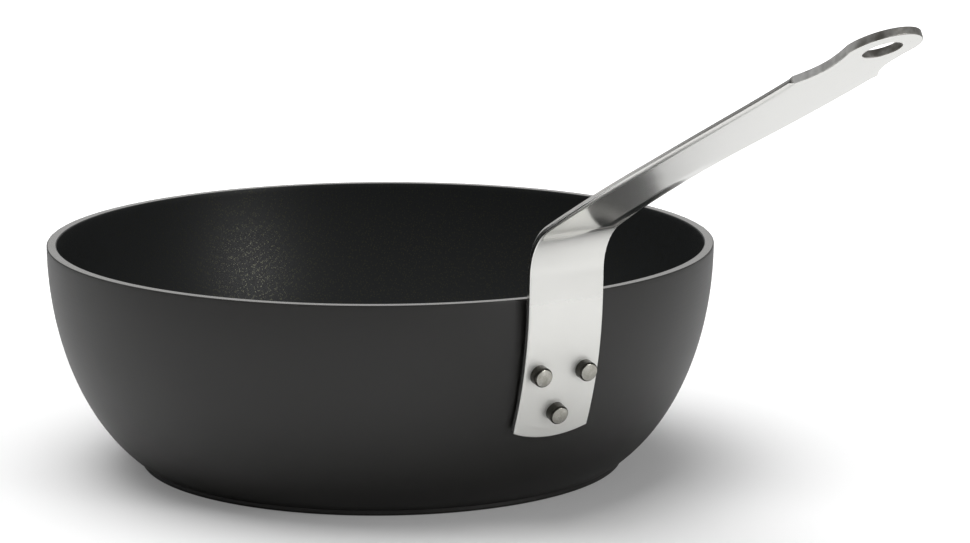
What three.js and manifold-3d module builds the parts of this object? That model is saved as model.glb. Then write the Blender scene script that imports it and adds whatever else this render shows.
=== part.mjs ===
// A rounded saute pan: a deep aluminium bowl on a flat foot, a steel plate let into its underside,
// and a handle of bent steel strip that three solid rivets hold to the wall.
// Units are millimetres. The origin is the middle of the foot, +Z is up and the handle points along +X.
import * as THREE from 'three';
import { mergeVertices, toCreasedNormals } from 'three/addons/utils/BufferGeometryUtils.js';
import Module from 'manifold-3d';

// Bowl
const rimRadius = 125.4; // outside of the rim
const panHeight = 83.9; // from the foot to the rim
const wall = 3.7; // width of the flat rim
const rimChamfer = 0.4;
const footRadius = 91.3; // where the curved wall meets the upright edge of the foot
const footHeight = 2; // upright edge of the foot
const footChamfer = 0.8;
const wallTuck = 7.1; // how far below that edge the ellipse of the wall would level out
const heel = 4.9; // extra metal inside the corner between wall and floor
const floorThickness = 4.5;

// Steel plate in the underside
const footRing = 19; // ring of foot left round the plate
const plateThickness = 0.8;

// Handle strip
const stripThickness = 2.6;
const stripChamfer = 0.5;
const legWidth = 30.5; // the stretch on the wall
const legDrop = 51.3; // from the rim down to the lower end
const legEndRadius = 38; // round of the lower end
const legLean = 0.031; // slope at which the leg leaves the wall above the low rivet
const riser = 8.6; // straight stretch above the rim
const bendRadius = 22; // to the middle of the strip
const gripPitch = 26.4; // degrees, rise of the grip from bend to tip
const gripFlick = 3; // degrees, extra rise at both ends of the grip
const waistWidth = 29.3;
const gripWidth = 32.2; // at the shoulders before the neck
const neckWidth = 23;
const headRadius = 12.9; // round end that carries the hole
const holeRadius = 6.25; // for hanging
const bendToWaist = 62; // distances along the grip
const waistToShoulder = 96.7;
const shoulderToNeck = 13.7;
const neckToHole = 12.2;

// Rivets
const rivetRadius = 3.6;
const rivetTail = 3.8; // stands out of the strip
const rivetTailChamfer = 0.5;
const rivetHeadRadius = 6.5; // inside the bowl
const rivetHeadHeight = 2;
const lowRivetRise = 10; // above the lower end of the strip
const pairRise = 14.7; // from the low rivet up to the pair
const pairInset = 5.9; // from the side of the strip to each of the pair

const clearance = 0.3; // left between touching pieces

// Fineness of the round surfaces
const turnSteps = 60;
const smallTurnSteps = 20;
const curveSteps = 6;
const stripStep = 5; // longest step along the strip

// Colours
const anodisedGrey = 0x35332f;
const polishedSteel = 0xd6d6d2;
const plateSteel = 0xa9a9a6;
const rivetGrey = 0x77736a;

const wasm = await Module();
wasm.setup();

function toSolid(geometry) {
  const bare = geometry.clone();
  bare.deleteAttribute('normal');
  bare.deleteAttribute('uv');
  const merged = mergeVertices(bare);
  return new wasm.Manifold(new wasm.Mesh({
    numProp: 3,
    vertProperties: merged.attributes.position.array,
    triVerts: Uint32Array.from(merged.index.array),
  }));
}

function toGeometry(solid) {
  const mesh = solid.getMesh();
  const geometry = new THREE.BufferGeometry();
  geometry.setAttribute('position', new THREE.BufferAttribute(mesh.vertProperties, 3));
  geometry.setIndex(new THREE.BufferAttribute(mesh.triVerts, 1));
  return toCreasedNormals(geometry, Math.PI / 6);
}

// A profile of (radius, height) points turned about the Z axis.
function turned(profile, steps) {
  const points = profile.getPoints ? profile.getPoints(curveSteps) : profile;
  return new THREE.LatheGeometry(points, steps).rotateX(Math.PI / 2);
}

// The outside of the wall is a quarter of an ellipse that stands upright at the rim and
// reaches the foot's edge. The inside is a second ellipse that runs level into the floor.
const wallDrop = panHeight - footHeight + wallTuck;
const footAngle = Math.asin((footHeight - panHeight) / wallDrop);
const wallBelly = (rimRadius - footRadius) / (1 - Math.cos(footAngle));
const outside = new THREE.Vector2(rimRadius - wallBelly, panHeight);
const inside = new THREE.Vector2(outside.x + heel, panHeight);
const innerBelly = rimRadius - wall - inside.x;
const innerDrop = panHeight - floorThickness;
const plateRadius = footRadius - footRing;

// Section of the bowl. A margin moves the inner surface inwards, to keep other pieces off it.
function bowlProfile(margin = 0) {
  const recessRadius = plateRadius + clearance;
  const recessDepth = plateThickness + clearance;
  const belly = innerBelly - margin;
  const drop = innerDrop - margin;
  const profile = new THREE.Path();
  profile.moveTo(0, recessDepth);
  profile.lineTo(recessRadius, recessDepth);
  profile.lineTo(recessRadius, 0);
  profile.lineTo(footRadius - footChamfer, 0);
  profile.lineTo(footRadius, footChamfer);
  profile.absellipse(outside.x, outside.y, wallBelly, wallDrop, footAngle, -rimChamfer / wallDrop, false);
  profile.lineTo(rimRadius - rimChamfer, panHeight);
  profile.lineTo(inside.x + belly + rimChamfer, panHeight);
  profile.absellipse(inside.x, inside.y, belly, drop, -rimChamfer / drop, -Math.PI / 2, true);
  profile.lineTo(0, panHeight - drop);
  return profile;
}

// Point on the outside of the wall at a height, and the outward normal there, as (radius, height).
function wallAt(height) {
  const angle = Math.asin((height - panHeight) / wallDrop);
  const point = new THREE.Vector2(wallBelly * Math.cos(angle), wallDrop * Math.sin(angle)).add(outside);
  const normal = new THREE.Vector2(Math.cos(angle) / wallBelly, Math.sin(angle) / wallDrop).normalize();
  return { point, normal };
}

// Thickness of the wall along its normal: where that line meets the inner ellipse.
function wallThicknessAt({ point, normal }) {
  const scale = new THREE.Vector2(innerBelly, innerDrop);
  const start = point.clone().sub(inside).divide(scale);
  const step = normal.clone().divide(scale);
  const along = start.dot(step);
  const inwards = along ** 2 - step.lengthSq() * (start.lengthSq() - 1);
  return (along - Math.sqrt(inwards)) / step.lengthSq();
}

// A radius and height on the handle's middle plane, and a sideways offset, as a point in space.
function onPlane({ x, y }, offset = 0) {
  return new THREE.Vector3(x, offset, y);
}

// A round bar along a line, from one distance to another past a start point.
function bar(radius, start, direction, from, to) {
  const axis = direction.clone().normalize();
  const length = to - from;
  const geometry = new THREE.CylinderGeometry(radius, radius, length, smallTurnSteps);
  geometry.applyQuaternion(new THREE.Quaternion().setFromUnitVectors(new THREE.Vector3(0, 1, 0), axis));
  const middle = start.clone().addScaledVector(axis, (from + to) / 2);
  return geometry.translate(middle.x, middle.y, middle.z);
}

const lowEnd = panHeight - legDrop;
const lowRivetHeight = lowEnd + lowRivetRise;

// Gap between the wall and the strip at a height.
function gapAt(height) {
  return clearance + legLean * Math.max(0, height - lowRivetHeight);
}

// Middle line of the strip: up the wall, clear of the rim, round the bend and out along the grip.
const legPoints = [];
for (let i = 0; i <= curveSteps; i++) {
  const height = lowEnd + (legDrop * i) / curveSteps;
  const { point, normal } = wallAt(height);
  legPoints.push(point.addScaledVector(normal, gapAt(height) + stripThickness / 2));
}
const leg = new THREE.SplineCurve(legPoints);
const rimLevel = legPoints[curveSteps];
const leanAngle = Math.atan(legLean);
const upwards = new THREE.Vector2(Math.sin(leanAngle), Math.cos(leanAngle));
const outwards = new THREE.Vector2(upwards.y, -upwards.x);
const bendStart = rimLevel.clone().addScaledVector(upwards, riser);
const rise = new THREE.LineCurve(rimLevel, bendStart);
const gripAngle = THREE.MathUtils.degToRad(gripPitch);
const endAngle = THREE.MathUtils.degToRad(gripPitch + gripFlick);
const bendCentre = bendStart.clone().addScaledVector(outwards, bendRadius);
const bendStop = Math.PI / 2 + endAngle;
const bend = new THREE.EllipseCurve(
  bendCentre.x, bendCentre.y, bendRadius, bendRadius, Math.PI - leanAngle, bendStop, true,
);
const gripLength = bendToWaist + waistToShoulder + shoulderToNeck + neckToHole + headRadius;
const bendEnd = bend.getPoint(1);
const reach = new THREE.Vector2(Math.cos(gripAngle), Math.sin(gripAngle)).multiplyScalar(gripLength);
const tip = bendEnd.clone().add(reach);
const flick = new THREE.Vector2(Math.cos(endAngle), Math.sin(endAngle)).multiplyScalar(gripLength / 3);
const grip = new THREE.CubicBezierCurve(bendEnd, bendEnd.clone().add(flick), tip.clone().sub(flick), tip);
const middleLine = new THREE.CurvePath();
middleLine.curves.push(leg, rise, bend, grip);
const stripLength = middleLine.getLength();
const gripStart = stripLength - grip.getLength();

// Place on the middle line at a distance from the lower end, with the direction out of the
// strip's outer face, which is its underside along the grip.
function stripAt(distance) {
  const point = middleLine.getPoint(distance / stripLength);
  const tangent = middleLine.getTangent(distance / stripLength);
  return { point, normal: new THREE.Vector2(tangent.y, -tangent.x) };
}

// Half outline of the flat strip, as (distance, half width): round lower end, straight leg,
// waisted grip, square shoulders, scooped neck and round head.
function stripOutline() {
  const half = legWidth / 2;
  const waistHalf = waistWidth / 2;
  const gripHalf = gripWidth / 2;
  const neckHalf = neckWidth / 2;
  const waist = gripStart + bendToWaist;
  const shoulder = waist + waistToShoulder;
  const neck = shoulder + shoulderToNeck;
  const hole = neck + neckToHole;
  const cornerAngle = Math.PI - Math.asin(half / legEndRadius);
  const blunt = stripChamfer * 2; // half width of the small flats at both ends
  const outline = new THREE.Path();
  outline.absarc(legEndRadius, 0, legEndRadius, Math.PI - Math.asin(blunt / legEndRadius), cornerAngle, true);
  outline.lineTo(gripStart, half);
  outline.quadraticCurveTo(waist - bendToWaist / 2, waistHalf, waist, waistHalf);
  const easeFrom = waist + waistToShoulder / 4;
  const easeTo = waist + waistToShoulder / 3;
  outline.bezierCurveTo(easeFrom, waistHalf, easeTo, gripHalf, shoulder, gripHalf);
  outline.quadraticCurveTo(neck - shoulderToNeck / 2, neckHalf, neck, neckHalf);
  outline.quadraticCurveTo(hole - neckToHole / 2, neckHalf, hole, headRadius);
  outline.absarc(hole, 0, headRadius, Math.PI / 2, Math.asin(blunt / headRadius), true);
  return outline;
}

// Outline points with more between them where they stand far apart.
function stations(outline) {
  const points = outline.getPoints(curveSteps);
  const close = [points[0]];
  for (let i = 1; i < points.length; i++) {
    const count = Math.ceil((points[i].x - points[i - 1].x) / stripStep);
    for (let k = 1; k <= count; k++) {
      close.push(points[i - 1].clone().lerp(points[i], k / count));
    }
  }
  return close;
}

// The strip as rings of a chamfered rectangle, one at each station along the middle line.
function stripGeometry() {
  const rings = stations(stripOutline());
  const out = stripThickness / 2;
  const cut = stripChamfer;
  const positions = [];
  for (const { x: distance, y: half } of rings) {
    const { point, normal } = stripAt(distance);
    const section = [
      [half - cut, out], [half, out - cut], [half, cut - out], [half - cut, -out],
      [cut - half, -out], [-half, cut - out], [-half, out - cut], [cut - half, out],
    ];
    for (const [offset, depth] of section) {
      const place = onPlane(point.clone().addScaledVector(normal, depth), offset);
      positions.push(place.x, place.y, place.z);
    }
  }
  const count = 8;
  const last = (rings.length - 1) * count;
  const index = [];
  for (let start = 0; start < last; start += count) {
    for (let j = 0; j < count; j++) {
      const next = (j + 1) % count;
      index.push(start + j, start + next, start + count + j);
      index.push(start + next, start + count + next, start + count + j);
    }
  }
  for (let j = 1; j < count - 1; j++) {
    index.push(0, j + 1, j);
    index.push(last, last + j, last + j + 1);
  }
  const geometry = new THREE.BufferGeometry();
  geometry.setAttribute('position', new THREE.Float32BufferAttribute(positions, 3));
  geometry.setIndex(index);
  return geometry;
}

// Where each rivet sits: a height on the wall and a sideways offset. Its line leaves the wall
// square to it in the handle's middle plane, and the strip is close to square to all three.
const pairHeight = lowRivetHeight + pairRise;
const pairOffset = legWidth / 2 - pairInset;
const rivetPlaces = {
  rivet_upper_left: { height: pairHeight, offset: -pairOffset },
  rivet_upper_right: { height: pairHeight, offset: pairOffset },
  rivet_lower: { height: lowRivetHeight, offset: 0 },
};

function rivetLine({ height, offset }) {
  const place = wallAt(height);
  return {
    start: onPlane(place.point, offset),
    direction: onPlane(place.normal),
    through: wallThicknessAt(place),
    stripFace: gapAt(height) + stripThickness,
  };
}

// A hole for a rivet, through both the wall and the strip.
function rivetHole(place) {
  const { start, direction, through, stripFace } = rivetLine(place);
  const spare = rivetHeadRadius;
  return toSolid(bar(rivetRadius + clearance, start, direction, -through - spare, stripFace + spare));
}

// A solid rivet: a low head dressed to the curve of the inner wall, a shank and a plain tail.
function rivetGeometry(place, keepOut) {
  const { start, direction, through, stripFace } = rivetLine(place);
  const headTop = -through - rivetHeadHeight - clearance;
  const tailEnd = stripFace + rivetTail;
  const head = toSolid(bar(rivetHeadRadius, start, direction, headTop, -through / 2)).subtract(keepOut);
  const tailProfile = [
    new THREE.Vector2(0, headTop + rivetHeadHeight / 2),
    new THREE.Vector2(rivetRadius, headTop + rivetHeadHeight / 2),
    new THREE.Vector2(rivetRadius, tailEnd - rivetTailChamfer),
    new THREE.Vector2(rivetRadius - rivetTailChamfer, tailEnd),
    new THREE.Vector2(0, tailEnd),
  ];
  const shank = turned(tailProfile, smallTurnSteps);
  shank.applyQuaternion(new THREE.Quaternion().setFromUnitVectors(new THREE.Vector3(0, 0, 1), direction));
  shank.translate(start.x, start.y, start.z);
  return toGeometry(head.add(toSolid(shank)));
}

// Hole for hanging, square through the head.
function hangingHole() {
  const { point, normal } = stripAt(stripLength - headRadius);
  return toSolid(bar(holeRadius, onPlane(point), onPlane(normal), -headRadius, headRadius));
}

function piece(name, geometry, color, roughness, metalness) {
  const mesh = new THREE.Mesh(geometry, new THREE.MeshStandardMaterial({ color, roughness, metalness }));
  mesh.name = name;
  return mesh;
}

const sautePan = new THREE.Group();

// Bowl, bored for the rivets
let bowl = toSolid(turned(bowlProfile(), turnSteps));
// Strip, bored for the rivets and for hanging
let strip = toSolid(stripGeometry()).subtract(hangingHole());
for (const place of Object.values(rivetPlaces)) {
  const hole = rivetHole(place);
  bowl = bowl.subtract(hole);
  strip = strip.subtract(hole);
}
sautePan.add(piece('pan_body', toGeometry(bowl), anodisedGrey, 0.45, 0.6));
sautePan.add(piece('handle', toGeometry(strip), polishedSteel, 0.15, 1));

// Plate, flush with the foot
const plateProfile = [
  new THREE.Vector2(0, 0),
  new THREE.Vector2(plateRadius, 0),
  new THREE.Vector2(plateRadius, plateThickness),
  new THREE.Vector2(0, plateThickness),
];
sautePan.add(piece('induction_plate', turned(plateProfile, turnSteps), plateSteel, 0.4, 1));

// Rivets
const keepOut = toSolid(turned(bowlProfile(clearance), turnSteps));
for (const [name, place] of Object.entries(rivetPlaces)) {
  sautePan.add(piece(name, rivetGeometry(place, keepOut), rivetGrey, 0.5, 0.9));
}

export default sautePan;
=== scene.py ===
"""A rounded saute pan with a riveted strip handle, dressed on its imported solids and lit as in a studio.

Units are metres. The bowl's axis is Z, the foot stands on Z = 0 and the handle points along +X.
"""

import bmesh
import bpy
import numpy as np
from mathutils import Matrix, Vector


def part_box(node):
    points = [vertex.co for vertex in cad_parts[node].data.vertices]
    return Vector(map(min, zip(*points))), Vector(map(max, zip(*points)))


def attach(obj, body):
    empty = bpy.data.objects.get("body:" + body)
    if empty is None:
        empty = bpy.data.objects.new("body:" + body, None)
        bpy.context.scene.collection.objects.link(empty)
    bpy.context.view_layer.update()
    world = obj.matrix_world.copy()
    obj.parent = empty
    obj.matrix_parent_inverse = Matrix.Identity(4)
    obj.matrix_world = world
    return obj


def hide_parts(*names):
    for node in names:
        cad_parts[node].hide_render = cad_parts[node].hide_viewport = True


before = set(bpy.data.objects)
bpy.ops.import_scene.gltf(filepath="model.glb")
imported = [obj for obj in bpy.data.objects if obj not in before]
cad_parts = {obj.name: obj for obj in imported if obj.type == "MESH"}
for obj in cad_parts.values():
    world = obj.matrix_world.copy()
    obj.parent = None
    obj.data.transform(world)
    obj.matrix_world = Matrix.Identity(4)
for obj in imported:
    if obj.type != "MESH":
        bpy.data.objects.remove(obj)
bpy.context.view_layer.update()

# The bowl is one deep-drawn aluminium shell, turned true outside and hard-anodised to a satin dark grey.
# Inside it has a black non-stick coat with fine metal flecks, and its flat rim is machined bare last.
# It carries everything else: the plate is pressed into its underside and the handle riveted to its wall.
bowl_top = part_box("pan_body")[1]
plate_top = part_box("induction_plate")[1]
rim_radius = bowl_top.x
rim_height = bowl_top.z
rim_width = 0.0037
rim_round = 0.0004
foot_radius = 0.0913  # where the curved wall meets the upright edge of the foot
foot_edge = 0.002
foot_round = 0.0008
wall_tuck = 0.0071  # how far below the foot's edge the ellipse of the wall would level out
heel = 0.0049  # extra metal inside the corner between wall and floor
floor_thickness = 0.0045
plate_seam = 0.0002  # fine gap round the plate
oxide_tones = [(0.009, 0.0085, 0.0076), (0.0125, 0.0118, 0.0106)]
oxide_rubbed = (0.09, 0.088, 0.083)
rubbed_heights = (0.0004, 0.0024)  # the rubbing of the foot fades out between these
rim_tones = [(0.6, 0.59, 0.57), (0.7, 0.69, 0.67)]
coat_black = (0.0152, 0.0166, 0.017)
fleck_tone = (0.0565, 0.0572, 0.042)
fleck_cells = 1600.0  # to the metre
bare_cells = 0.62  # share of the cells that hold no fleck
fleck_reach = 0.4  # radius of a fleck, in cells
turn_steps = 256
round_steps = 7
flat_steps = 12
wall_steps = 72
weld_distance = 1e-7
quarter = np.pi / 2


def eased(start, stop, count):
    """Numbers crowded at both ends: start + (stop - start)(1 - cos x) / 2, for x from 0 to pi."""
    wave = (1 - np.cos(np.linspace(0, np.pi, count))) / 2
    return start + (stop - start) * wave


def line(start, stop, count=flat_steps):
    """Points start + (stop - start) s, with s eased from 0 to 1 so that smooth shading keeps it flat."""
    start = np.array(start)
    return start + (np.array(stop) - start) * eased(0, 1, count)[:, None]


def arc(centre, radii, angles):
    """Points of an ellipse: centre + (a cos t, b sin t), for all the angles t."""
    circle = np.stack([np.cos(angles), np.sin(angles)], axis=-1)
    return np.array(centre) + np.array(radii) * circle


def joined(stretches):
    """One run of points from stretches that each start where the last one stopped."""
    return np.concatenate([stretches[0]] + [stretch[1:] for stretch in stretches[1:]])


def turned(profile, steps=turn_steps):
    """A profile of (r, z) points turned about Z: (r cos a, r sin a, z), with quads between its rings."""
    angle = np.linspace(0, 2 * np.pi, steps, endpoint=False)
    radius = profile[:, :1]
    height = profile[:, 1:] + 0 * angle
    points = np.stack([radius * np.cos(angle), radius * np.sin(angle), height], axis=-1)
    row, column = np.meshgrid(np.arange(len(profile) - 1), np.arange(steps), indexing="ij")
    here = row * steps + column
    beside = row * steps + (column + 1) % steps
    quads = np.stack([here, beside, beside + steps, here + steps], axis=-1)
    return points.reshape(-1, 3), quads.reshape(-1, 4)


def piece_of(name, points, quads, finishes, zones=None, plan=None):
    """A smooth mesh object from points and quads. Zones number each quad's finish, plan is a UV per point."""
    used, corners = np.unique(quads, return_inverse=True)
    mesh = bpy.data.meshes.new(name)
    mesh.from_pydata(points[used].tolist(), [], corners.reshape(quads.shape).tolist())
    for finish in finishes:
        mesh.materials.append(finish)
    if zones is not None:
        mesh.polygons.foreach_set("material_index", zones.astype(np.int32))
    if plan is not None:
        layer = mesh.uv_layers.new(name="plan")
        layer.uv.foreach_set("vector", plan[quads.ravel()].astype(np.float32).ravel())
    mesh.polygons.foreach_set("use_smooth", np.ones(len(quads), bool))
    edit = bmesh.new()
    edit.from_mesh(mesh)
    bmesh.ops.remove_doubles(edit, verts=edit.verts, dist=weld_distance)
    bmesh.ops.recalc_face_normals(edit, faces=edit.faces)
    edit.to_mesh(mesh)
    edit.free()
    piece = bpy.data.objects.new(name, mesh)
    bpy.context.scene.collection.objects.link(piece)
    return piece


class Socket:
    """A shader socket. Arithmetic on it adds Math nodes, and node() adds a node of any other kind."""

    def __init__(self, tree, link=None):
        self.tree = tree
        self.link = link

    def node(self, kind, inputs, output=0, **settings):
        """Adds a node to the tree: its settings first, then the values or links of its sockets."""
        made = self.tree.nodes.new("ShaderNode" + kind)
        for name, value in settings.items():
            setattr(made, name, value)
        for name, value in inputs.items():
            if isinstance(value, Socket):
                self.tree.links.new(value.link, made.inputs[name])
            else:
                made.inputs[name].default_value = value
        return Socket(self.tree, made.outputs[output])

    def math(self, operation, *others):
        """A Math node that takes this value first."""
        return self.node("Math", dict(enumerate((self, *others))), operation=operation)

    def __add__(self, other):
        return self.math("ADD", other)

    def __sub__(self, other):
        return self.math("SUBTRACT", other)

    def __rsub__(self, other):
        return self.node("Math", {0: other, 1: self}, operation="SUBTRACT")

    def __mul__(self, other):
        return self.math("MULTIPLY", other)

    def __gt__(self, other):
        return self.math("GREATER_THAN", other)

    def __lt__(self, other):
        return self.math("LESS_THAN", other)

    __radd__ = __add__
    __rmul__ = __mul__

    def into(self, socket):
        """Links this to a socket of the shader."""
        self.tree.links.new(self.link, socket)

    def axis(self, name):
        """One coordinate of a place."""
        return self.node("SeparateXYZ", {"Vector": self}, output=name)

    def noise(self, scale, detail=2.0, stretch=(1, 1, 1)):
        """Soft noise from 0 to 1 whose grains are about 1 / scale wide, drawn out along some axes."""
        drawn = self.node("Mapping", {"Vector": self, "Scale": stretch})
        return drawn.node("TexNoise", {"Vector": drawn, "Scale": scale, "Detail": detail})

    def lines(self, scale):
        """Noise along a single value, so that it makes lines about 1 / scale wide across it."""
        return self.node("TexNoise", {"W": self, "Scale": scale, "Detail": 3.0}, noise_dimensions="1D")

    def between(self, low, high):
        """0 below low, 1 above high and smooth in between."""
        inputs = {"Value": self, "From Min": low, "From Max": high}
        return self.node("MapRange", inputs, interpolation_type="SMOOTHSTEP")

    def tint(self, first, second):
        """The first colour where this is 0, the second where it is 1. Each is a socket or three numbers.

        Inputs 6 and 7 of a Mix node are its colours, and output 2 is their mixture.
        """
        ends = [end if isinstance(end, Socket) else (*end, 1) for end in (first, second)]
        colour_inputs = {0: self, 6: ends[0], 7: ends[1]}
        return self.node("Mix", colour_inputs, output=2, data_type="RGBA")

    def bump(self, depth, strength=1.0):
        """A normal for a surface whose relief is this times the depth."""
        inputs = {"Height": self, "Distance": depth, "Strength": strength}
        return self.node("Bump", inputs, output="Normal")


def new_finish(name, coordinates="Object"):
    """A material, its shader node and the coordinates that its pattern reads."""
    material = bpy.data.materials.new(name)
    material.use_nodes = True
    tree = material.node_tree
    place = Socket(tree).node("TexCoord", {}, output=coordinates)
    return material, tree.nodes["Principled BSDF"], place


def from_axis(place):
    """Distance of a place from the bowl's axis."""
    flat = place.node("VectorMath", {0: place, 1: (1, 1, 0)}, operation="MULTIPLY")
    return flat.node("VectorMath", {0: flat}, output="Value", operation="LENGTH")


def anodised_finish():
    """Satin oxide over turned metal: fine grain, faint rings, slow clouds and a foot rubbed paler."""
    material, shader, place = new_finish("hard_anodised_grey")
    height = place.axis("Z")
    rings = (height + from_axis(place)).lines(1800)
    clouds = place.noise(28, 3.0)
    grain = place.noise(2400)
    rubbed = (1 - height.between(*rubbed_heights)) * place.noise(180, 4.0).between(0.42, 0.62)
    body = clouds.tint(*oxide_tones)
    (rubbed * 0.08).tint(body, oxide_rubbed).into(shader.inputs["Base Color"])
    (0.37 + clouds * 0.08 + rings * 0.05).into(shader.inputs["Roughness"])
    (grain * 0.7 + rings * 0.3).bump(0.00003, 0.35).into(shader.inputs["Normal"])
    return material


def bare_rim_finish():
    """Machined aluminium: bright, with the fine concentric lines that the tool left."""
    material, shader, place = new_finish("bare_machined_rim")
    tool = from_axis(place).lines(5200)
    patches = place.noise(60, 3.0)
    patches.tint(*rim_tones).into(shader.inputs["Base Color"])
    shader.inputs["Metallic"].default_value = 1.0
    (0.14 + tool * 0.08).into(shader.inputs["Roughness"])
    tool.bump(0.00004, 0.4).into(shader.inputs["Normal"])
    return material


def coat_finish():
    """Black non-stick coat: a faint orange peel, and metal flecks that show most where light glances."""
    material, shader, place = new_finish("black_nonstick_coat")
    peel = place.noise(900)
    grit = place.noise(3200, 1.0)
    cells = {"Vector": place, "Scale": fleck_cells}
    from_middle = place.node("TexVoronoi", cells, output="Distance")
    chance = place.node("SeparateColor", {"Color": place.node("TexVoronoi", cells, output="Color")})
    flecks = (chance > bare_cells) * (from_middle < fleck_reach)
    flecks.tint(coat_black, fleck_tone).into(shader.inputs["Base Color"])
    (flecks * 0.8).into(shader.inputs["Metallic"])
    (0.36 + peel * 0.12 - flecks * 0.1).into(shader.inputs["Roughness"])
    shader.inputs["Specular IOR Level"].default_value = 0.35
    (peel * 0.5 + grit * 0.5).bump(0.00006, 0.5).into(shader.inputs["Normal"])
    return material


wall_drop = rim_height - foot_edge + wall_tuck
foot_angle = np.arcsin((foot_edge - rim_height) / wall_drop)
wall_belly = (rim_radius - foot_radius) / (1 - np.cos(foot_angle))
wall_centre = np.array([rim_radius - wall_belly, rim_height])
inner_centre = wall_centre + (heel, 0)
inner_edge = rim_radius - rim_width
inner_belly = inner_edge - inner_centre[0]
inner_drop = rim_height - floor_thickness
recess_radius = plate_top.x + plate_seam
recess_depth = plate_top.z
round_out = np.linspace(-quarter, 0, round_steps)  # angles of an edge's round, from below to the side
round_up = np.linspace(0, quarter, round_steps)  # and from the side to the top

outside_stretches = [
    line((0, recess_depth), (recess_radius, recess_depth)),
    line((recess_radius, recess_depth), (recess_radius, 0)),
    line((recess_radius, 0), (foot_radius - foot_round, 0)),
    arc((foot_radius - foot_round, foot_round), foot_round, round_out),
    line((foot_radius, foot_round), (foot_radius, foot_edge), round_steps),
    arc(wall_centre, (wall_belly, wall_drop), np.linspace(foot_angle, -rim_round / wall_drop, wall_steps)),
    arc((rim_radius - rim_round, rim_height - rim_round), rim_round, round_up),
]
rim_stretch = line((rim_radius - rim_round, rim_height), (inner_edge + rim_round, rim_height))
coat_stretches = [
    arc((inner_edge + rim_round, rim_height - rim_round), rim_round, quarter + round_up),
    arc(inner_centre, (inner_belly, inner_drop), np.linspace(-rim_round / inner_drop, -quarter, wall_steps)),
    line((inner_centre[0], floor_thickness), (0, floor_thickness)),
]
bowl_runs = [joined(outside_stretches), rim_stretch, joined(coat_stretches)]
bowl_finishes = [anodised_finish(), bare_rim_finish(), coat_finish()]
bowl_points, bowl_quads = turned(joined(bowl_runs))
bowl_zones = np.repeat(np.arange(len(bowl_runs)), [(len(run) - 1) * turn_steps for run in bowl_runs])
bowl = piece_of("bowl", bowl_points, bowl_quads, bowl_finishes, bowl_zones)
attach(bowl, "root")
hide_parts("pan_body")

# The plate is a disc of magnetic steel, pressed into the underside so that the pan works on induction.
# It is flush with the foot, and its face is turned with a few shallow grooves and fine rings.
plate_radius = plate_top.x
plate_thickness = plate_top.z
plate_round = 0.0002
groove_pitch = 0.009
groove_depth = 0.00015
groove_sharpness = 24  # higher is narrower
plate_tones = [(0.42, 0.42, 0.41), (0.56, 0.56, 0.55)]
plate_steps = 480


def turned_steel_finish():
    """Steel faced on a lathe: rings in its roughness and relief, and a few rubbed clouds."""
    material, shader, place = new_finish("turned_plate_steel")
    rings = from_axis(place).lines(4200)
    clouds = place.noise(45, 3.0)
    clouds.tint(*plate_tones).into(shader.inputs["Base Color"])
    shader.inputs["Metallic"].default_value = 1.0
    (0.26 + rings * 0.2 + clouds * 0.06).into(shader.inputs["Roughness"])
    rings.bump(0.00005, 0.6).into(shader.inputs["Normal"])
    return material


def grooved_face(radius):
    """Depth of the face at a radius r, in narrow rings: depth ((1 - cos(2 pi r / pitch)) / 2) ^ sharpness."""
    wave = (1 - np.cos(2 * np.pi * radius / groove_pitch)) / 2
    return groove_depth * wave ** groove_sharpness


face_radius = np.linspace(0, plate_radius - plate_round, plate_steps)
plate_profile = joined([
    np.stack([face_radius, grooved_face(face_radius)], axis=-1),
    arc((plate_radius - plate_round, plate_round), plate_round, round_out),
    line((plate_radius, plate_round), (plate_radius, plate_thickness), round_steps),
    line((plate_radius, plate_thickness), (0, plate_thickness), round_steps),
])
plate = piece_of("induction_disc", *turned(plate_profile, turn_steps // 2), [turned_steel_finish()])
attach(plate, "root")
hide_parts("induction_plate")

# The handle is one length of stainless strip: stamped to its outline, its long edges rounded for the hand,
# bent to lie on the wall and to rise past the rim, and polished bright. The neck, head and hole are cut
# last and left as cut. Three rivets hold it, and above the lowest it leans a little off the wall.
strip_thickness = 0.0026
strip_gap = 0.0003  # stands off the wall in the solids
leg_half = 0.01525
leg_drop = 0.0513
leg_end_radius = 0.038
leg_lean = 0.031  # slope at which the leg leaves the wall above the low rivet
lean_ease = 0.006  # stretch over which it turns away
low_rivet_rise = 0.01  # above the lower end
riser = 0.0086
bend_radius = 0.022  # to the middle of the strip
grip_pitch = np.radians(26.4)
grip_flick = np.radians(3)  # extra rise at both ends of the grip
waist_half = 0.01465
grip_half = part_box("handle")[1].y  # at the shoulders before the neck
neck_half = 0.0115
head_radius = 0.0129
hole_radius = 0.00625
bend_to_waist = 0.062
waist_to_shoulder = 0.0967
shoulder_to_neck = 0.0137
neck_to_hole = 0.0122
leg_edge = 0.0006  # radii of the edges
grip_edge = 0.0011
cut_edge = 0.00025
edge_grows_before = 0.01  # from the leg's edge radius to the grip's, about the start of the grip
edge_grows_after = 0.018
edge_ends_before = 0.0004  # and down to the cut edge's, up to the shoulder
polish_tones = [(0.8, 0.798, 0.77), (0.84, 0.838, 0.81)]
# the second edge tone is painted shade, for the dark reflection along the grip's edges
edge_tones_and_painted_shade = [(0.8, 0.8, 0.78), (0.4, 0.395, 0.38)]
neck_tones = [(0.5, 0.495, 0.48), (0.8, 0.795, 0.78)]
head_tones = [(0.18, 0.172, 0.155), (0.42, 0.41, 0.39)]
dull_fades = (0.028, 0.07)  # along the strip, the leg's dull polish fades out between these
roll_sets_in = (0.08, 0.1)  # one edge is polished away past the bend, from here
roll_fades = (0.12, 0.165)
roll_across = (0.0085, 0.0148)  # from the middle of the strip towards that edge
roll_depth = 0.0008
# along the strip, the edges turn to that painted shade between these
edge_shade_painted_between = (0.12, 0.2)
cut_darkens = (0.294, 0.316)  # X between which the neck's cut faces turn to the head's tone
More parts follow.
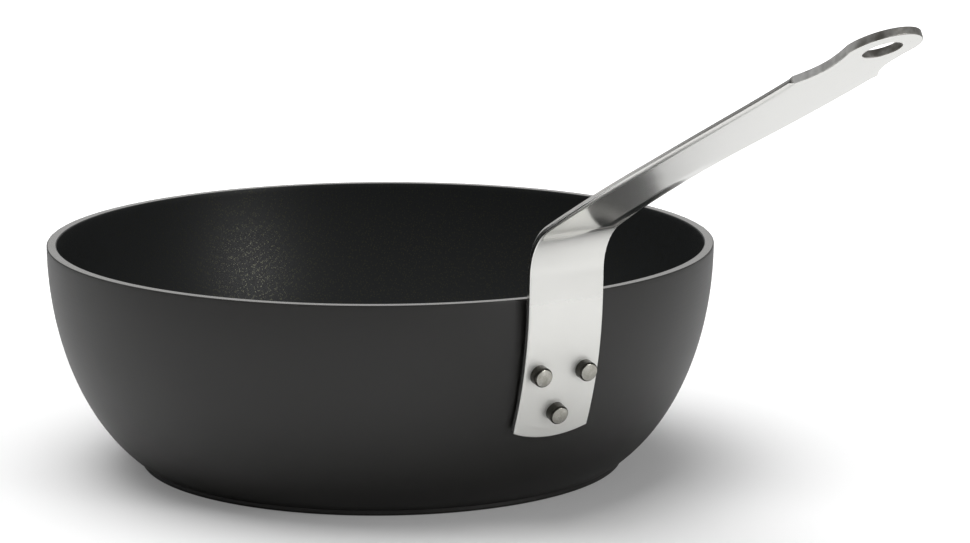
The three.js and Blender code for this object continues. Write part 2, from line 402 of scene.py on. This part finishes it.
hole_darkens = (0.28, 0.3)
path_steps = 1500
across_steps = 11
end_steps = 24
leg_steps = 110
waist_steps = 45
shoulder_steps = 70
scoop_steps = 26
head_steps = 48
end_clear = 3 * leg_edge  # where the lower end's round starts to pair with the middle line
end_reach = 0.010  # and how far up that line it pairs
blend_reach = 0.035  # how far past it the pairs come level again
side_share = 0.8  # where the flat side of an edge has its two rows


def bezier(points, share):
    """A Bezier curve: neighbouring control points are mixed by the share until a single point is left."""
    points = np.array(points)[None]
    share = share[:, None, None]
    while points.shape[1] > 1:
        points = points[:, :-1] * (1 - share) + points[:, 1:] * share
    return points[:, 0]


def wall_at(height):
    """Points on the wall's ellipse at given heights, and its unit normals, along (cos t / a, sin t / b)."""
    angle = np.arcsin((np.asarray(height) - rim_height) / wall_drop)
    normal = np.stack([np.cos(angle) / wall_belly, np.sin(angle) / wall_drop], axis=-1)
    normal /= np.linalg.norm(normal, axis=-1, keepdims=True)
    return arc(wall_centre, (wall_belly, wall_drop), angle), normal


low_rivet_height = rim_height - leg_drop + low_rivet_rise


def gap_at(height):
    """Gap between wall and strip, d above the low rivet: gap + slope (d + sqrt(d^2 + ease^2)) / 2."""
    above = np.asarray(height) - low_rivet_height
    return strip_gap + leg_lean * (above + np.hypot(above, lean_ease)) / 2


# Middle line of the strip in the plane Y = 0: up the wall, clear of the rim, round the bend and out.
leg_heights = np.linspace(rim_height - leg_drop, rim_height, path_steps)
wall_line, wall_normal = wall_at(leg_heights)
leg_line = wall_line + wall_normal * (gap_at(leg_heights) + strip_thickness / 2)[:, None]
rim_level = leg_line[-1]
lean_angle = np.arctan(leg_lean)
leg_up = np.array([np.sin(lean_angle), np.cos(lean_angle)])
bend_start = rim_level + riser * leg_up
bend_centre = bend_start + bend_radius * np.array([leg_up[1], -leg_up[0]])
bend_stop = quarter + grip_pitch + grip_flick
bend_line = arc(bend_centre, bend_radius, np.linspace(np.pi - lean_angle, bend_stop, path_steps))
grip_length = bend_to_waist + waist_to_shoulder + shoulder_to_neck + neck_to_hole + head_radius
grip_foot = bend_line[-1]
grip_tip = grip_foot + grip_length * np.array([np.cos(grip_pitch), np.sin(grip_pitch)])
lead = grip_length / 3 * np.array([np.cos(grip_pitch + grip_flick), np.sin(grip_pitch + grip_flick)])
grip_controls = [grip_foot, grip_foot + lead, grip_tip - lead, grip_tip]
grip_line = bezier(grip_controls, np.linspace(0, 1, 2 * path_steps))
middle_line = joined([leg_line, line(rim_level, bend_start, path_steps), bend_line, grip_line])
distance = np.concatenate([[0], np.cumsum(np.linalg.norm(np.diff(middle_line, axis=0), axis=1))])
slope = np.gradient(middle_line, distance, axis=0)
slope /= np.linalg.norm(slope, axis=1, keepdims=True)

# Half outline of the flat strip as (distance along, half width), from the lower end to the tip.
grip_start = distance[-len(grip_line)]
waist = grip_start + bend_to_waist
shoulder = waist + waist_to_shoulder
neck = shoulder + shoulder_to_neck
hole = neck + neck_to_hole
corner_angle = np.arcsin(leg_half / leg_end_radius)
lower_end = arc((leg_end_radius, 0), leg_end_radius, np.linspace(np.pi, np.pi - corner_angle, end_steps))
corner = lower_end[-1]
leg_side = bezier([corner, (grip_start, leg_half)], np.linspace(0, 1, leg_steps))
to_waist = bezier(
    [(grip_start, leg_half), (waist - bend_to_waist / 2, waist_half), (waist, waist_half)],
    np.linspace(0, 1, waist_steps),
)
to_shoulder = bezier(
    [(waist, waist_half), (waist + waist_to_shoulder / 4, waist_half),
     (waist + waist_to_shoulder / 3, grip_half), (shoulder, grip_half)],
    np.linspace(0, 1, shoulder_steps),
)
scoop_near = bezier(
    [(shoulder, grip_half), (neck - shoulder_to_neck / 2, neck_half), (neck, neck_half)],
    np.linspace(0, 1, scoop_steps),
)
scoop_far = bezier(
    [(neck, neck_half), (hole - neck_to_hole / 2, neck_half), (hole, head_radius)],
    np.linspace(0, 1, scoop_steps),
)
head_end = arc((hole, 0), head_radius, np.linspace(quarter, 0, head_steps))
grip_outline = joined([lower_end, leg_side, to_waist, to_shoulder])
outline = joined([grip_outline, scoop_near, scoop_far, head_end])
edge_width = np.interp(
    outline[:, 0],
    [grip_start - edge_grows_before, grip_start + edge_grows_after, shoulder - edge_ends_before, shoulder],
    [leg_edge, grip_edge, grip_edge, cut_edge],
)

# Each outline point pairs with a point on the middle line, or on the hole beside the head.
hole_angles = np.concatenate([
    np.linspace(np.pi, quarter, scoop_steps),
    np.linspace(quarter, 0, head_steps)[1:],
])
outline_reach = outline[: len(outline) - len(hole_angles), 0]
fade = np.clip(1 - (outline_reach - corner[0]) / blend_reach, 0, 1)
middle_pairs = outline_reach + (end_reach - corner[0]) * fade ** 2
middle_pairs[:end_steps] = eased(end_clear, end_reach, end_steps)
neck_pairs = np.linspace(shoulder, hole - hole_radius - cut_edge, scoop_steps + 1)[1:-1]
middle_pairs[-len(neck_pairs):] = neck_pairs
middle_points = np.stack([middle_pairs, 0 * middle_pairs], axis=-1)
inner = np.concatenate([middle_points, arc((hole, 0), hole_radius, hole_angles)])
inner_set_back = np.concatenate([middle_points, arc((hole, 0), hole_radius + cut_edge, hole_angles)])

# An outline point is set back along the mitre of the two stretches that meet in it.
segment = np.diff(outline, axis=0)
segment /= np.linalg.norm(segment, axis=1, keepdims=True)
inwards = np.stack([segment[:, 1], -segment[:, 0]], axis=-1)
before = np.concatenate([[[1, 0]], inwards])
after = np.concatenate([inwards, [[-1, 0]]])
mitre = (before + after) / (1 + np.sum(before * after, axis=1, keepdims=True))
mitre[0] = (1, 0)
mitre[-1] = (-1, 0)


def edge_ring(width):
    """Section of an edge of radius w: (w (1 - cos t), h - w + w sin t) on both faces, and a flat side."""
    turn = round_up[::-1]
    width = width[:, None]
    flat = strip_thickness / 2 - width
    back = width * (1 - np.cos(turn))
    rise = flat + width * np.sin(turn)
    side_rise = flat * np.array([side_share, -side_share])
    set_back = np.concatenate([back, 0 * side_rise, back[:, ::-1]], axis=1)
    height = np.concatenate([rise, side_rise, -rise[:, ::-1]], axis=1)
    return set_back, height


edge_back, edge_height = edge_ring(edge_width)
edge_plan = outline[:, None] + mitre[:, None] * edge_back[..., None]
hole_back, hole_height = edge_ring(np.full(len(outline), cut_edge))
hole_plan = inner[:, None] + (inner_set_back - inner)[:, None] * (hole_back / cut_edge)[..., None]
face_share = eased(0, 1, across_steps)[1:-1, None]
face_plan = inner_set_back[:, None] * (1 - face_share) + edge_plan[:, :1] * face_share
face_height = np.full(face_plan.shape[:2], strip_thickness / 2)
ring_plan = np.concatenate([face_plan, edge_plan, face_plan[:, ::-1], hole_plan[:, ::-1]], axis=1)
ring_height = np.concatenate([face_height, edge_height, -face_height, -hole_height], axis=1)
row_count, ring_count = ring_height.shape


def on_strip(plan, height, side):
    """Points in space: the middle line at a distance, plus a height along its normal, and a width across."""
    along = plan[..., 0]
    point = np.stack([np.interp(along, distance, middle_line[:, k]) for k in (0, 1)], axis=-1)
    tangent = np.stack([np.interp(along, distance, slope[:, k]) for k in (0, 1)], axis=-1)
    x = point[..., 0] + tangent[..., 1] * height
    z = point[..., 1] - tangent[..., 0] * height
    return np.stack([x, side * plan[..., 1], z], axis=-1).reshape(-1, 3)


# Quads of one half, numbered by finish: 0 on the faces and the edges' outer rounds, 1 on the rest of the
# long edges, 2 on the cut edges of neck and head, and 3 in the hole.
quad_row, quad_column = np.meshgrid(np.arange(row_count - 1), np.arange(ring_count), indexing="ij")
edge_count = edge_back.shape[1]
first_edge = face_plan.shape[1]
hole_wall = (quad_column >= ring_count - edge_count) & (quad_column < ring_count - 1)
edge_side = (quad_column >= first_edge) & (quad_column < first_edge + edge_count - 1)
cut_side = edge_side & (quad_row >= len(grip_outline) - 1)
inner_side = edge_side & (quad_column >= first_edge + round_steps - 1)
kept = ~hole_wall | (quad_row >= len(middle_pairs))
half_zones = np.select([hole_wall, cut_side, inner_side], [3, 2, 1], 0)[kept]
quad_here = (quad_row * ring_count + quad_column)[kept]
quad_beside = (quad_row * ring_count + (quad_column + 1) % ring_count)[kept]
half_quads = np.stack([quad_here, quad_beside, quad_beside + ring_count, quad_here + ring_count], axis=-1)
handle_quads = np.concatenate([half_quads, half_quads[:, ::-1] + row_count * ring_count])
handle_points = np.concatenate([on_strip(ring_plan, ring_height, side) for side in (1, -1)])
handle_zones = np.tile(half_zones, 2)
handle_plan = np.concatenate([ring_plan.reshape(-1, 2), ring_plan.reshape(-1, 2) * (1, -1)])


def polished_strip_finish():
    """Bright stainless steel: fine marks along it, faint rubbing, a duller leg and one edge rolled off."""
    material, shader, place = new_finish("polished_stainless", "UV")
    along = place.axis("X")
    hairs = place.noise(5200, 2.0, (0.02, 1, 1))
    rubbing = place.noise(70, 4.0)
    waves = place.noise(38, 1.0)
    dull = 1 - along.between(*dull_fades)
    past_bend = along.between(*roll_sets_in) * (1 - along.between(*roll_fades))
    rolled = place.axis("Y").between(*roll_across) * past_bend
    rubbing.tint(*polish_tones).into(shader.inputs["Base Color"])
    shader.inputs["Metallic"].default_value = 1.0
    (0.08 + hairs * 0.04 + rubbing * 0.04 + dull * 0.4).into(shader.inputs["Roughness"])
    ((hairs * 0.02 + waves) * 0.00003 - rolled * roll_depth).bump(1.0).into(shader.inputs["Normal"])
    return material


def rounded_edge_finish():
    """Long rounded edges: as bright as the faces on the leg and bend, then painted darker towards the head as
    painted reflection.
    """
    material, shader, place = new_finish("rounded_strip_edge", "UV")
    hairs = place.noise(2600, 2.0, (0.02, 1, 1))
    painted_edge_shade = place.axis("X").between(*edge_shade_painted_between)
    painted_edge_shade.tint(*edge_tones_and_painted_shade).into(shader.inputs["Base Color"])
    shader.inputs["Metallic"].default_value = 1.0
    (0.12 + hairs * 0.08).into(shader.inputs["Roughness"])
    return material


def cut_steel_finish(name, darkens):
    """Sawn and filed steel: blotched with short marks, and turning dark between two values of X."""
    material, shader, place = new_finish(name)
    marks = place.noise(900, 3.0)
    blotches = place.noise(190, 4.0).between(0.35, 0.65)
    stain = place.axis("X").between(*darkens)
    stain.tint(blotches.tint(*neck_tones), blotches.tint(*head_tones)).into(shader.inputs["Base Color"])
    shader.inputs["Metallic"].default_value = 1.0
    (0.3 + marks * 0.16).into(shader.inputs["Roughness"])
    marks.bump(0.00008, 0.5).into(shader.inputs["Normal"])
    return material


handle_finishes = [
    polished_strip_finish(),
    rounded_edge_finish(),
    cut_steel_finish("cut_stainless", cut_darkens),
    cut_steel_finish("punched_hole", hole_darkens),
]
handle = piece_of("strip_handle", handle_points, handle_quads, handle_finishes, handle_zones, handle_plan)
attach(handle, "root")
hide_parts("handle")

# Three solid rivets hold the strip: a low domed head inside the bowl, a shank through wall and strip,
# and a plain cropped tail outside. They are dull grey-brown metal with rounded tail ends. The tails' sides
# are painted near black as painted shade and dark reflection, which leaves the ends paler.
rivet_radius = 0.0036
rivet_tail = 0.0038
tail_round = 0.0009
tail_dome = 0.0004
rivet_head_radius = 0.0065
rivet_head_height = 0.002
head_rim = 0.0007  # height of the head at its edge
skirt = 0.001  # part of the head that is let into the wall
pair_rise = 0.0147
pair_inset = 0.0059
rivet_tones = [(0.36, 0.35, 0.31), (0.48, 0.47, 0.43)]
# painted shade: the tails' sides are near black, for the shade and dark reflection on them
tail_side_painted_shade_tones = [(0.03, 0.029, 0.025), (0.06, 0.057, 0.05)]
rivet_turn_steps = 64


def rivet_finish(name, tones):
    """Dull metal, grey-brown or painted dark: mottled between two tones and a little pitted."""
    material, shader, place = new_finish(name)
    mottle = place.noise(420, 4.0)
    pits = place.noise(2600, 2.0)
    mottle.between(0.3, 0.7).tint(*tones).into(shader.inputs["Base Color"])
    shader.inputs["Metallic"].default_value = 1.0
    (0.2 + mottle * 0.12).into(shader.inputs["Roughness"])
    (mottle * 0.6 + pits * 0.4).bump(0.00006, 0.6).into(shader.inputs["Normal"])
    return material


def wall_thickness(point, normal):
    """Length of wall along its normal: where the line from the outside first meets the inner ellipse."""
    scale = np.array([inner_belly, inner_drop])
    start = (point - inner_centre) / scale
    step = normal / scale
    slant = start @ step
    return (slant - np.sqrt(slant ** 2 - step @ step * (start @ start - 1))) / (step @ step)


def rivet_profile(thickness, gap):
    """Section of a rivet as (radius, distance out of the wall), from the top of its head to its tail's end.

    The head is an ellipse's quarter on an upright rim, and the tail's end a parabola inside a round edge.
    """
    head_top = -thickness - rivet_head_height
    head_foot = skirt - thickness
    cap = rivet_head_height - head_rim
    tail_end = gap + strip_thickness + rivet_tail
    end_radius = rivet_radius - tail_round
    end_across = np.linspace(end_radius, 0, round_steps)
    end_rise = tail_dome * (1 - (end_across / end_radius) ** 2)
    return joined([
        arc((0, head_top + cap), (rivet_head_radius, cap), np.linspace(-quarter, 0, 2 * round_steps)),
        line((rivet_head_radius, head_top + cap), (rivet_head_radius, head_foot), round_steps),
        line((rivet_head_radius, head_foot), (rivet_radius, head_foot), round_steps),
        line((rivet_radius, head_foot), (rivet_radius, tail_end - tail_round)),
        arc((end_radius, tail_end - tail_round), tail_round, round_up),
        np.stack([end_across, tail_end + end_rise], axis=-1),
    ])


rivet_finishes = [
    rivet_finish("pressed_rivet_metal", rivet_tones),
    rivet_finish("rivet_side_painted_shade", tail_side_painted_shade_tones),
]
pair_height = low_rivet_height + pair_rise
pair_offset = leg_half - pair_inset
rivet_places = {
    "rivet_upper_left": (pair_height, -pair_offset),
    "rivet_upper_right": (pair_height, pair_offset),
    "rivet_lower": (low_rivet_height, 0.0),
}
for node, (height, offset) in rivet_places.items():
    base, out = wall_at(height)
    profile = rivet_profile(wall_thickness(base, out), gap_at(height))
    # Painted shade: the quads of the tail's sides take the near-black finish.
    painted_shade_sides = (profile[1:, 1] > 0) & (profile[1:, 0] >= rivet_radius - tail_round / 2)
    sideways = np.array([0, 1, 0])
    upwards = np.array([-out[1], 0, out[0]])
    outwards = np.array([out[0], 0, out[1]])
    points, quads = turned(profile, rivet_turn_steps)
    placed = np.array([base[0], offset, base[1]]) + points @ np.stack([sideways, upwards, outwards])
    rivet = piece_of(node + "_solid", placed, quads, rivet_finishes, np.repeat(painted_shade_sides, rivet_turn_steps))
    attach(rivet, "root")
    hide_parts(node)

# The stage is a wide pale floor under a plain surround. A broad soft lamp hangs above, a little behind, and
# a tall one stands to the right of the camera. The eye sees floor and surround as white, with the pan's
# shadow. Mirrors see the lit floor, a white horizon and a grey ceiling, and not the broad lamp.
floor_half = 15.0
floor_drop = 0.0002  # below the foot, so that the two never share a plane
floor_white = 0.8
outer_reach = (0.14, 0.4)  # from the bowl's axis: the floor's outer glow sets in between these
far_reach = (0.35, 1.1)  # and between these, where the lamp falls off, its far glow
outer_glow = 0.12  # in mirrors and for the eye, up to the far reach
eye_near_glow = 0.15  # for the eye alone, all over
eye_outer_glow = 0.2  # and added to that, from each reach on
eye_far_glow = 1.0
surround_fill = 0.15  # what the surround adds to dull surfaces
ceiling_tone = 0.35
ceiling_fall = 12.0  # how fast the surround darkens from the horizon upwards, in mirrors


def rays(tree):
    """Two masks: 1 for rays from the eye, and 1 for those and for rays that are mirrored or passed on."""
    start = Socket(tree)
    eye = start.node("LightPath", {}, output="Is Camera Ray")
    mirrored = start.node("LightPath", {}, output="Is Glossy Ray")
    passed = start.node("LightPath", {}, output="Is Transmission Ray")
    return eye, eye.math("MAXIMUM", mirrored).math("MAXIMUM", passed)


floor_finish, floor_shader, floor_place = new_finish("white_floor")
floor_shader.inputs["Roughness"].default_value = 0.9
floor_shader.inputs["Specular IOR Level"].default_value = 0.0
floor_shader.inputs["Base Color"].default_value = (floor_white, floor_white, floor_white, 1)
floor_shader.inputs["Emission Strength"].default_value = 1.0
floor_eye, floor_seen = rays(floor_finish.node_tree)
outer = from_axis(floor_place).between(*outer_reach)
far = from_axis(floor_place).between(*far_reach)
mirror_glow = outer * (1 - far) * outer_glow
eye_glow = eye_near_glow + outer * eye_outer_glow + far * eye_far_glow
(floor_seen * mirror_glow + floor_eye * eye_glow).into(floor_shader.inputs["Emission Color"])

floor_corners = np.array([(-1, -1), (1, -1), (1, 1), (-1, 1)]) * floor_half
floor_points = np.column_stack([floor_corners, np.full(len(floor_corners), -floor_drop)])
floor = piece_of("floor", floor_points, np.array([[0, 1, 2, 3]]), [floor_finish])

surround = bpy.data.worlds.new("surround")
surround.use_nodes = True
bpy.context.scene.world = surround
surround_tree = surround.node_tree
surround_eye, surround_seen = rays(surround_tree)
upward = Socket(surround_tree).node("TexCoord", {}, output="Generated").axis("Z")
horizon = (upward * -ceiling_fall).math("EXPONENT")
mirror_tone = (ceiling_tone + horizon * (1 - ceiling_tone)).math("MINIMUM", 1)
seen_tone = mirror_tone.math("MAXIMUM", surround_eye)
surround_level = surround_seen * seen_tone + (1 - surround_seen) * surround_fill
surround_level.into(surround_tree.nodes["Background"].inputs["Color"])


def soft_lamp(name, place, target, **settings):
    """An area lamp at a place, turned to a target."""
    light = bpy.data.lights.new(name, "AREA")
    for key, value in settings.items():
        setattr(light, key, value)
    made = bpy.data.objects.new(name, light)
    bpy.context.scene.collection.objects.link(made)
    made.location = place
    aim = made.location - Vector(target)
    made.rotation_euler = aim.to_track_quat("Z", "Y").to_euler()
    return made


broad_lamp = soft_lamp(
    "broad_lamp",
    place=(-0.22, -0.12, 1.15),
    target=(0, 0, 0),
    energy=6.6,
    shape="SQUARE",
    size=1.35,
    spread=np.radians(85),
)
broad_lamp.visible_glossy = False
soft_lamp(
    "tall_lamp",
    place=(1.66, 0.72, 0.55),
    target=(0, 0, 0.05),
    energy=8.2,
    shape="RECTANGLE",
    size=0.35,
    size_y=0.95,
)

# The camera stands low, about a metre and a half away, with the handle towards it on the right.
# Its place, turn, tilt and lens are those at which the pan fills the frame as photographed.
camera_azimuth = np.radians(60)
camera_distance = 1.4091  # level, from the bowl's axis
camera_height = 0.34994
camera_turn = np.radians(1.596)  # to the right of the axis
camera_tilt = np.radians(11.193)  # below level
camera_sensor = 36.0
camera_lens = 141.03

camera_data = bpy.data.cameras.new("camera")
camera_data.sensor_width = camera_sensor
camera_data.lens = camera_lens
camera = bpy.data.objects.new("camera", camera_data)
bpy.context.scene.collection.objects.link(camera)
camera.location = (
    camera_distance * np.sin(camera_azimuth),
    -camera_distance * np.cos(camera_azimuth),
    camera_height,
)
camera.rotation_euler = (quarter - camera_tilt, 0, camera_azimuth - camera_turn)
bpy.context.scene.camera = camera
bpy.context.scene.view_settings.view_transform = "Standard"
